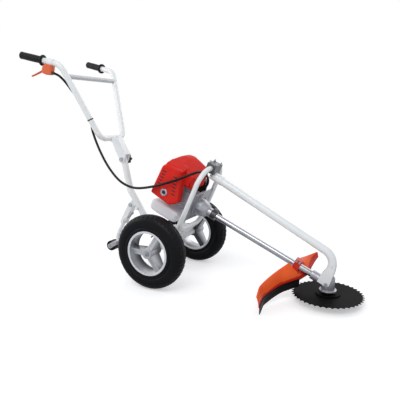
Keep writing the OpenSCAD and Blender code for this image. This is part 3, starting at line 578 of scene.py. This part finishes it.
def inward(curve, depth):
    """The outline moved inwards by depth, along its own normals."""
    way = unit(np.roll(curve, -1, 0) - np.roll(curve, 1, 0))
    x, y = curve.T
    turn = np.sign(np.sum(x * np.roll(y, -1) - y * np.roll(x, -1)))
    return curve + depth * turn * np.stack([-way[:, 1], way[:, 0]], 1)


def stacked(curve, levels, column=1):
    """The outline once for each (inset, place) pair: moved inwards, with its place put in as a coordinate."""
    return np.stack([np.insert(inward(curve, inset), column, place, axis=1) for inset, place in levels])


def quarter(radius, place, way, steps=7):
    """(inset, place) pairs of a quarter-round edge that ends on a place; way is the outside's sense."""
    a = np.linspace(0, np.pi / 2, steps)
    edge = [(radius * (1 - math.cos(t)), place - way * radius * (1 - math.sin(t))) for t in a]
    return edge + [(radius + 0.8, place)]


def held_under(z, limit, soft):
    """z kept below a limit with a rounded turn: z - s ln(1 + exp((z - limit) / s))."""
    return z - soft * np.log1p(np.exp((z - limit) / soft))


# throttle cable: the sleeve's own route, hanging between the tie on the handlebar and the engine
CABLE_ACROSS = 11.0
cable_keys = np.concatenate([
    [[-520, -196, 933], [-504, -184, 922], [-491, -162, 896], [-468, -145, 856], [-432, -119, 800],
     [-406, -99.5, 726], [-394, -100.5, 667], [-351, -108, 584], [-301, -110, 508], [-244, -112, 452],
     [-186, -116, 426], [-122, -124, 422], [-32, -138, 439], [33, -140, 458], [97, -136, 480]],
    drive([[-117, -113, 160], [-106, -78, 170], [-105, -35, 158], [-105, 12, 142], [-105, 50, 116],
           [-104, 66, 88], [-112, 60, 60], [-134, 58, 48]])])
cable_line = smooth_path(cable_keys, 8)
cable = piece("cable_sleeve", [capped(tube(cable_line, CABLE_ACROSS / 2, 20))], cable_black, None,
              ("throttle_cable",))
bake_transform(cable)

# big tyres
TYRE_STEPS = 480
TREAD_BLOCKS = 44
TREAD_DEEP = 2.4
WALL_RING = 0.7
# the tyre's edge that covers the rim's edge, as (radius, distance from the tyre's middle plane) pairs
TYRE_LIP = np.array([[112.5, 36.6], [107, 37.6], [102, 37.6], [99.6, 37.1], [98.8, 36.3], [105.3, 36.3],
                     [105.4, 30.2], [96.3, 30.2]])


def tyre(side):
    """Section: a rounded square, |y/39|^2.4 + |(r - 131)/34|^2.4 = 1 nearly. Tread: slanted slots and two
    grooves, sunk into the crown. Sidewalls: two raised rings each, then the lip."""
    degrees = np.linspace(116, -116, 121)
    theta = round_angles(TYRE_STEPS)[:, None]
    up = np.cos(np.radians(degrees))
    out = np.sin(np.radians(degrees))
    wide = np.abs(out)
    slant = (theta * TREAD_BLOCKS / (2 * np.pi) + 0.55 * wide + 0.5 * (out > 0)) % 1.0
    slots = soft_step(0.11 - np.abs(slant - 0.5), 0.02)
    slots = slots * soft_step(wide - 0.2, 0.015) * soft_step(0.8 - wide, 0.02)
    grooves = soft_step(0.035 - np.abs(wide - 0.2), 0.008)
    sunk = TREAD_DEEP * np.maximum(slots, grooves) * (up > 0)
    bells = [np.exp(-((np.abs(degrees) - place) / width) ** 2) for place, width in ((100, 1.6), (108, 1.4))]
    raised = WALL_RING * (sum(bells) - 1)
    r = 131 + (34 - sunk) * signed_power(up, 0.83)
    y = np.broadcast_to(39 * signed_power(out, 0.83) + np.sign(out) * raised, r.shape)
    lips = np.concatenate([TYRE_LIP * [1, -1], TYRE_LIP[::-1]])
    lips = np.broadcast_to(lips, (TYRE_STEPS,) + lips.shape)
    r = np.concatenate([r, lips[..., 0]], 1)
    y = np.concatenate([y, lips[..., 1]], 1)
    return np.stack([r * np.cos(theta), side * (WHEEL_Y + y), AXLE_Z + r * np.sin(theta)], -1)


for hand, side in (("left", 1), ("right", -1)):
    piece(hand + "_tread_tyre", [endless(tyre(side))], tyre_black, hand + "_wheel",
          (hand + "_tyre",), 50.0)

# extension spring of the tail leg: a coil and two hooks, in the spring's own frame (along, up, across)
SPRING_TURNS = 16
SPRING_PITCH = 3
spring_top = np.array([-200.0, -27.0, 300.0])
spring_foot = np.array([-287.0, -27.0, 226.0])
spring_dir = unit(spring_foot - spring_top)
spring_up = np.array([-spring_dir[2], 0.0, spring_dir[0]])
spring_lead = (np.linalg.norm(spring_foot - spring_top) - SPRING_TURNS * SPRING_PITCH) / 2


def hook(eye, first, last):
    """Part of a ring of radius 5.6 about an eye, from the first angle to the last."""
    a = np.radians(np.linspace(first, last, 25))[:, None]
    return eye + 5.6 * (np.cos(a) * spring_dir + np.sin(a) * spring_up)


# the coil is a helix of radius 5 about the spring's line
turns = np.linspace(0, SPRING_TURNS, SPRING_TURNS * 24 + 1)[:, None]
coil_a = np.radians(-90 + 360 * turns)
coil = (spring_top + (spring_lead + SPRING_PITCH * turns) * spring_dir
        + 5 * (np.sin(coil_a) * spring_up + np.cos(coil_a) * DIR_B))
spring_line = np.concatenate([hook(spring_top, 60, 300), coil, hook(spring_foot, 240, 480)])
spring = piece("tail_spring_wire", [capped(tube(spring_line, 1.0, 10))], steel, None,
               ("tail_spring",))
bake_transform(spring)

# grips: a waisted sleeve along s with finger ribs, a flange at its inner end and a rounded outer end
GRIP_LONG = 122
bar_top = np.array([-490.0, -190.0, 972.0])
bar_end = np.array([-692.0, -229.0, 1020.0])
bar_run = float(np.linalg.norm(bar_end - bar_top))
bar_dir = unit(bar_end - bar_top)
s = np.linspace(0, GRIP_LONG, 2 * GRIP_LONG + 1)
finger_ribs = 0.45 * (0.5 + 0.5 * np.cos(2 * np.pi * (s - 16) / 7.5)) ** 0.6 * ((s > 14) & (s < 112))
waist = 0.4 * np.sin(np.pi * np.clip((s - 10) / 100, 0, 1))
sleeve = 15.9 + waist + finger_ribs + np.clip((s - 108) / 8, 0, 1)
flange = 25 - 1.2 * np.abs((s - 4) / 4) ** 4
fillet = 15.6 + 2.7 * ((12 - s) / 4) ** 3
grip_r = np.where(s < 8, flange, np.where(s < 12, fillet, sleeve))
grip_r = grip_r * np.sqrt(1 - 0.6 * np.clip((s - 116) / 6, 0, 1) ** 4)
grip_bore = [[4.0, 121.9], [0.02, 121.9], [0.02, 118], [13.6, 118]]
grip_profile = np.concatenate([[[13.6, 0.3]], np.stack([grip_r, s], 1), grip_bore])
right_grip = turned(grip_profile, bar_top + bar_dir * (bar_run - GRIP_LONG), bar_dir, 64)
piece("handle_grips", [endless(right_grip), endless(right_grip * OVER)], grip_black, "handlebar",
      ("grips",), 50.0)

# guard: a curved shield, low where the drive tube passes, and its rubber skirt
# each station: x, y and z of the lower edge, x and z of the upper edge, and the bulge between them
stations = np.array([
    [516, -266, 33, 507, 75, 2], [510, -222, 36, 501, 94, 3], [507, -183, 38, 499, 97, 4],
    [521, -130, 46, 514, 112, 5], [545, -75, 56, 534, 127, 6], [573, -46, 65, 554, 142, 9],
    [590, -30, 70, 562, 147, 9], [602, -17, 72.5, 602, 99, 0], [625, 17, 86, 625, 101, 0],
    [632, 32, 95, 592, 154, 9], [635, 52, 108, 596, 152, 9], [640, 90, 124, 613, 152, 6],
    [648, 130, 140, 643, 161, 0]], float)
notch_share = np.linspace(0, 1, 9)[1:, None]
notch = [stations[k] + (stations[k + 1] - stations[k]) * notch_share for k in (6, 7, 8)]
near_part = smooth_path(stations[:7], 10)
far_part = smooth_path(stations[9:], 10)
guard_line = np.concatenate([near_part, *notch, far_part[1:]])
guard_low = guard_line[:, :3]
guard_high = guard_line[:, [3, 1, 4]]
guard_rise = guard_high - guard_low
guard_bulge = guard_line[:, None, 5:6] * 3.6
guard_step = unit(np.gradient(guard_low[:, :2], axis=0))
guard_face = np.stack([guard_step[:, 1], -guard_step[:, 0], 0 * guard_step[:, 0]], 1)


def shield(share, proud):
    """Points of the guard at a share of its height, moved forward by proud: a straight rise from the lower to
    the upper edge plus a parabola of bulge, with the top 6 mm rolled back."""
    v = share[None, :, None]
    tall = np.linalg.norm(guard_rise, axis=1)[:, None, None]
    roll = np.clip((v - 1) * tall / 6 + 1, 0, 1) ** 2 * 1.6
    bow = guard_bulge * v * (1 - v) - roll
    return guard_low[:, None] + guard_rise[:, None] * v + guard_face[:, None] * (bow + proud)


rise = np.concatenate([np.linspace(0, 0.9, 16), np.linspace(0.92, 1, 7)])
guard_ring = np.concatenate([shield(rise, 0.0), shield(rise[::-1], -2.5)], 1)
guard = piece("guard_shield", [capped(guard_ring)], orange, "frame", ("guard",), 50.0)

# skirt: a strip on the guard's near part, 8 mm up its face and 25 mm below its edge, with a slight ripple
skirt_rows = len(near_part) + len(notch[0])
drop = np.linspace(-25, 8, 23)
share = np.clip(drop[None, :] / np.maximum(guard_rise[:, 2:3], 1), 0, 1)[:, :, None]
bow = np.maximum(guard_bulge * share * (1 - share), 0)
loose = np.clip(-drop / 25, 0, 1)[None, :, None] ** 2
ripple = 0.7 * np.sin(np.linspace(0, 34, len(guard_line)))[:, None, None] * loose
hang = np.stack([0 * drop, 0 * drop, np.minimum(drop, 0)], 1)[None]
skirt_back = (guard_low[:, None] + guard_rise[:, None] * share + hang
              + guard_face[:, None] * (bow + 0.5 + np.maximum(ripple, -0.1)))
skirt_front = skirt_back + guard_face[:, None] * 2.8
skirt_ring = np.concatenate([skirt_back, skirt_front[:, ::-1]], 1)[:skirt_rows]
piece("rubber_skirt", [capped(skirt_ring)], grip_black, "frame", ("guard_skirt",), 50.0)

# rounded edges on the moulded, cast and pressed pieces
edge_widths = {
    "clamp_base": 0.0015, "clamp_cap": 0.0025, "guard_bracket": 0.0018, "air_cleaner": 0.003,
    "star_knob": 0.0015, "handle_bracket": 0.0008, "tail_arm": 0.0008, "tail_fork": 0.0008,
    "right_rim": 0.0015, "left_rim": 0.0015, "gear_head": 0.0012, "head_cover": 0.0012,
    "clutch_housing": 0.0015, "support_cup": 0.0015, "upper_flange": 0.0008, "tube_collar": 0.001,
    "engine_plate": 0.0006, "carburettor": 0.0015, "starter_cover": 0.0012, "bolts": 0.0005,
    "wheel_nuts": 0.0008, "tail_wheel": 0.0015}
rounded_pieces = {node: softened(node, width) for node, width in edge_widths.items()}

# engine covers, in the drive frame: the near cover's shell, with a bead round its face
COVER_FACE = -122.0
COVER_BACK = -78.0
near_curve = outline([[-273, -13], [-263, 125], [-250, 140], [-173, 146], [-158, 117], [-130, 5],
                      [-140, -5], [-165, -23]], 6.5)
skin_out = [(0.0, COVER_BACK)] + quarter(8.5, COVER_FACE, -1)
skin_in = [(10.0, -119.5), (9.0, -119.5), (2.5, -112.0), (2.5, COVER_BACK)]
near_shell = drive(stacked(near_curve, skin_in + skin_out))
bead_line = drive(stacked(near_curve, [(15.0, COVER_FACE + 0.4)])[0])
bead = tube(np.concatenate([bead_line, bead_line[:1]]), 1.6, 10)
piece("muffler_shell", [capped(near_shell), (bead, False, True, False)], red, "frame",
      ("muffler_cover",), 50.0)


def roof(p):
    """Height of the covers' roof over x and y: it climbs from the near cover to a ridge at y = 24, and falls
    to the front and to the far side."""
    x, y = p[..., 0], p[..., 1]
    return 192 - 0.34 * np.maximum(24 - y, 0) - 0.5 * np.maximum(y - 24, 0) - 0.28 * np.maximum(x + 200, 0)


# top cover: a rounded shell cut to the roof, whose near edge turns down in a quarter round
TOP_ROUND = 10.5
top_curve = outline([[-258, 100], [-262, 140], [-240, 178], [-200, 190], [-125, 184], [-118, 170],
                     [-115, 70]], 8.0)
top_levels = (quarter(TOP_ROUND, COVER_BACK, -1)[::-1] + [(0.0, y) for y in np.linspace(-60, 42, 18)]
              + quarter(TOP_ROUND, 60.0, 1))
top_rings = stacked(top_curve, top_levels)
edge_y = np.clip(COVER_BACK + TOP_ROUND - top_rings[..., 1], 0, TOP_ROUND - 0.1)
edge_drop = TOP_ROUND - np.sqrt(TOP_ROUND ** 2 - edge_y ** 2)
top_rings[..., 2] = held_under(top_rings[..., 2], roof(top_rings) - edge_drop, 3.0)
piece("top_shell", [capped(drive(top_rings))], red, "frame", ("top_cover",), 50.0)

# sloping lid that joins the near cover to the roof, drawn across and up and stacked along x
lid_curve = outline([[-117, 118], [-115, 139], [-104, 148], [-72, 160], [-60, 160], [-60, 118]], 3.0, 120)
lid_levels = (quarter(6.0, -254.0, -1)[::-1] + [(0.0, x) for x in np.linspace(-240, -180, 9)]
              + quarter(6.0, -166.0, 1))
lid = stacked(lid_curve, lid_levels, 0)
lid[..., 2] = held_under(lid[..., 2], roof(lid) + 1.5, 1.5)
piece("cover_lid", [capped(drive(lid))], red, "frame", (), 50.0)

# fuel tank: a blown shell, |x / 75|^4.4 + |z / 29|^4.4 = 1 across, with round ends, and its filler neck
FILLER_X = -235
FILLER_Z = -76
tank_a = round_angles(160)
tank_x = signed_power(np.cos(tank_a), 0.45)
tank_z = signed_power(np.sin(tank_a), 0.45)
tank_levels = quarter(15.0, -88.0, -1)[::-1] + quarter(15.0, 72.0, 1)
tank_inset, tank_y = np.array(tank_levels).T[:, :, None]
tank_rings = np.stack([-195 + (75 - tank_inset) * tank_x, tank_y + 0 * tank_x,
                       -77 + (29 - tank_inset) * tank_z], -1)
neck_profile = [[11.6, 2.0], [11.6, 16.0], [14.0, 16.0], [14.0, 2.0]]
neck = turned(neck_profile, drive([FILLER_X, 66, FILLER_Z]), DIR_B, 40)
piece("tank_shell", [capped(drive(tank_rings)), endless(neck)], tank_white, "frame",
      ("fuel_tank",), 50.0)


def bar(left, right, z, thick, tall):
    """A flat bar on the near cover: a run from left to right with round ends, and a smaller face."""
    a = round_angles(24)
    half = tall / 2
    straight = (right - left) / 2 - half
    x = (left + right) / 2 + half * np.cos(a) + straight * np.sign(np.cos(a))
    ring = np.stack([x, z + half * np.sin(a)], 1)
    face = COVER_FACE - 0.2
    return capped(drive(stacked(ring, [(0.0, face + thick), (0.0, face), (0.6, face - 0.4)])))


# six rows of slots on each side of the near cover, each slot a black bar that paints the shade inside the
# vent's opening, with a hood over it
slots = []
hoods = []
for row in range(6):
    for left, lean in ((-260, 1.2), (-175, -3.4)):
        start = left + lean * row
        slots.append(bar(start, start + 22, 33 + 15 * row, 1.5, 5.0))
        hoods.append(bar(start - 1, start + 23, 37.2 + 15 * row, 2.0, 2.6))
piece("cover_slot_shades", slots, black_plastic, "frame")
piece("cover_hoods", hoods, red, "frame")

exhaust = drive([-208, COVER_FACE, 20])
exhaust_ring = turned([[9, -1], [9, 2.2], [10, 3], [15, 3], [17, 1.8], [17, -1]], exhaust, -DIR_B, 48)
# a flat black disc inside the ring paints the shade in the exhaust's opening
exhaust_hole_shade = turned([[0.05, -0.6], [0.05, 0.6], [8.7, 1.4], [8.9, -0.6]], exhaust, -DIR_B, 40)
piece("exhaust_ring", [endless(exhaust_ring)], alloy, "frame", (), 30.0)
piece("exhaust_hole_shade", [endless(exhaust_hole_shade)], black_plastic, "frame", (), 30.0)

# studs of the hoop's clamp, each with a nut
stud_profile = [[0.05, -2], [0.05, 11], [2.4, 11], [2.9, 10.4], [2.9, -2]]
nut_profile = [[3.0, 0.0], [3.0, 5.6], [5.2, 5.6], [5.8, 5.0], [5.8, 0.0]]
studs = []
for x, y in ((-99.5, -23), (-66.5, -23), (-99.5, 23), (-66.5, 23)):
    seat = drive([x, y, 214])
    studs += [endless(turned(stud_profile, seat, DIR_C, 20)), endless(turned(nut_profile, seat, DIR_C, 6))]
piece("clamp_studs", studs, steel, "frame", (), 30.0)

# valve stems through the rims, leaning inwards to the axle
VALVE_ANGLE = 1.9
stem_profile = [[0.05, -6], [0.05, 14], [2.2, 14], [2.6, 13.4], [2.6, 7], [3.4, 6.4], [3.8, 0], [5.2, -3],
                [5.2, -6]]
for body, side in (("left_wheel", 1), ("right_wheel", -1)):
    spot = np.array([-math.cos(VALVE_ANGLE), 0.0, math.sin(VALVE_ANGLE)])
    lean = np.array([0.0, side * 0.93, 0.0]) - 0.35 * spot
    foot = np.array([0.0, side * 246.0, AXLE_Z]) + 84.0 * spot - 7 * lean
    piece(body + "_valve", [endless(turned(stem_profile, foot, lean, 20))], black_plastic, body,
          (), 30.0)


# pieces with two finishes
def second_finish(made, finish, chosen):
    """Gives the faces whose middle passes the test another finish; the test takes axle-based millimetres."""
    mesh = made.data
    middle = np.empty(len(mesh.polygons) * 3)
    mesh.polygons.foreach_get("center", middle)
    axle_mm = middle.reshape(-1, 3) * 1000 + [MID_X, 0, 0]
    mesh.materials.append(finish.material)
    mesh.polygons.foreach_set("material_index", chosen(axle_mm).astype(np.int32))


def on_flange(p):
    """On the flat edges of a rim, 36 mm to each side of its middle."""
    return np.abs(np.abs(np.abs(p[:, 1]) - WHEEL_Y) - 36) < 0.8


def in_socket(p):
    """On the front of the clamp's base, further along the drive tube than -60.5 mm."""
    return (p - DRIVE_0) @ DIR_A > -60.5


def low_on_guard(p):
    """In the lowest 20 mm of the guard: the band that gets a darker red as painted shade."""
    return p[:, 2] < np.interp(p[:, 1], guard_low[:, 1], guard_low[:, 2]) + 20


second_finish(rounded_pieces["clamp_base"], white, in_socket)
# the darker red band along the guard's lower edge is painted shade
second_finish(guard, band_red, low_on_guard)
second_finish(rounded_pieces["left_rim"], rim_edge, on_flange)
second_finish(rounded_pieces["right_rim"], rim_edge, on_flange)

# handlebar: one bent tube from grip to grip, and the cross bar between its arms
bar_low = np.array([-358.0, -88.0, 636.0])
bar_in = bar_top + bar_dir * (bar_run - 4)
bar_line = bent([bar_in, bar_top, bar_low, bar_low * OVER, bar_top * OVER, bar_in * OVER], [60, 50, 50, 60])
piece("handlebar_tube", [capped(tube(bar_line, 13.5, 48))], white, "handlebar",
      ("handlebar",), 50.0)
cross_end = bar_top + 0.152 * (bar_low - bar_top) + [0.0, 9.0, 0.0]
piece("handlebar_cross_bar", [capped(tube([cross_end, cross_end * OVER], 11.0, 40))], greyer_bar, "handlebar",
      (), 50.0)

# throttle: two rounded cheeks and a core under the bar, a thin band round the bar, and a tapering lever
bar_side = np.array([-bar_dir[1], bar_dir[0], 0.0]) / math.hypot(bar_dir[0], bar_dir[1])
bar_up = np.cross(bar_dir, bar_side)


def on_arm(points):
    """Millimetres along the bar, across it and above it as axle-based millimetres."""
    return placed(points, bar_top, bar_dir, bar_side, bar_up)


drum = outline([[34, -9], [33, -34], [34, -54], [56, -59], [77, -56], [84, -40], [81, -20], [70, -11]],
               3.0, 96)
core = outline([[34, -9], [33, -34], [34, -54], [48, -57], [53.5, -50], [53.5, -24], [70, -21], [70, -12]],
               1.2, 96)
CORE_HALF = 5.6
cheek_a = [(0.0, CORE_HALF)] + quarter(4.0, 15.0, 1)
cheek_b = [(0.0, -CORE_HALF)] + quarter(4.0, -15.0, -1)
core_levels = [(0.0, -CORE_HALF), (0.0, CORE_HALF)]
throttle_layers = ((drum, cheek_a), (drum, cheek_b), (core, core_levels))
piece("throttle_body", [capped(on_arm(stacked(curve, levels))) for curve, levels in throttle_layers],
      pale_orange, "handlebar", ("throttle_housing",), 50.0)
band_profile = [[13.2, 36], [13.2, 64], [15.6, 64], [16.4, 63], [16.4, 37], [15.6, 36]]
piece("throttle_band", [endless(turned(band_profile, bar_top, bar_dir, 56))], white, "handlebar",
      (), 30.0)

# the lever: a squared-off oval that tapers along a curved line, and its hub
lever_line = smooth_path([[66, -37], [76, -39.5], [98, -55], [120, -70], [140, -82.5]], 12)
s = np.linspace(0, 1, len(lever_line))
tip = np.clip((s - 0.93) / 0.07, 0, 0.97)
lever_thick = (6.2 - 2.8 * s ** 0.8) * np.sqrt(1 - tip ** 2)
tip = np.clip((s - 0.95) / 0.05, 0, 0.95)
lever_wide = (4.9 - 0.6 * s) * np.sqrt(1 - tip ** 2)
lever_way = unit(np.gradient(lever_line, axis=0))
lever_a = round_angles(28)
rise = signed_power(np.cos(lever_a), 0.7) * lever_thick[:, None]
across = signed_power(np.sin(lever_a), 0.7) * lever_wide[:, None]
lever = np.stack([lever_line[:, :1] - lever_way[:, 1:] * rise, across,
                  lever_line[:, 1:] + lever_way[:, :1] * rise], -1)
hub_profile = [[2.6, -4.9], [2.6, 4.9], [6.4, 4.9], [6.9, 4.3], [6.9, -4.3], [6.4, -4.9]]
hub = turned(hub_profile, on_arm([68, 0, -38]), bar_side, 40)
piece("throttle_trigger", [capped(on_arm(lever)), endless(hub)], lever_orange, "throttle_lever",
      ("throttle_lever",), 50.0)
ferrule_profile = [[5.6, -9], [5.6, 4], [6.6, 4], [7.4, 3], [7.4, -3], [6.4, -4], [6.4, -8.4], [6.0, -9]]
ferrule = turned(ferrule_profile, on_arm([32, 0, -45]), bar_dir, 36)
piece("cable_ferrule", [endless(ferrule)], dark_metal, "handlebar", (), 30.0)

# recoil starter: eighteen short ribs like spokes, and a boss in their middle
STARTER_FACE = -225.4
end_a = round_angles(16)
rib_long = 24.0 + 9.0 * np.sign(np.cos(end_a)) + 1.5 * np.cos(end_a)
rib_wide = 1.5 * np.sin(end_a)
ribs = []
for a in round_angles(18):
    y = rib_long * math.cos(a) - rib_wide * math.sin(a)
    z = rib_long * math.sin(a) + rib_wide * math.cos(a)
    foot = np.stack([np.full(16, STARTER_FACE), y, z], 1)
    top = np.stack([np.full(16, STARTER_FACE - 2.0), y * 0.995, z * 0.995], 1)
    ribs.append(capped(drive(np.stack([foot, top]))))
boss = turned([[0.05, -1], [0.05, 3], [8, 3], [10, 2], [11, -1]], drive([-226, 0, 0]), -DIR_A, 40)
piece("starter_ribs", ribs + [endless(boss)], black_plastic, "frame")

# air cleaner: six level ribs on its face
bars = []
for z in np.linspace(34, 82, 6):
    foot = np.stack([-155 + 22 * np.sign(np.cos(end_a)) + 2 * np.cos(end_a), np.full(16, 107.5),
                     z + 2 * np.sin(end_a)], 1)
    bars.append(capped(drive(np.stack([foot, foot + [0, 1.9, 0]]))))
piece("cleaner_ribs", bars, black_plastic, "frame")

# fuel cap: a turned profile whose rim swells and shrinks 24 times round
cap_profile = np.array([[0.05, 12.9], [9, 12.9], [9.6, 11.9], [14.6, 11.9], [15.2, 12.9], [16.8, 12.6],
                        [17.6, 11.4], [17.6, 1.6], [17.0, 0.6], [0.05, 0.6]])
cap_a = round_angles(120)
cap_r = cap_profile[:, :1] * (1 + 0.02 * np.cos(24 * cap_a)[None, :] * (cap_profile[:, :1] > 16.5))
cap_y = 82 + cap_profile[:, 1:] + 0 * cap_r
cap = np.stack([FILLER_X + cap_r * np.cos(cap_a), cap_y, FILLER_Z + cap_r * np.sin(cap_a)], -1)
piece("grooved_cap", [endless(drive(cap))], black_plastic, "fuel_cap", ("fuel_cap",), 40.0)
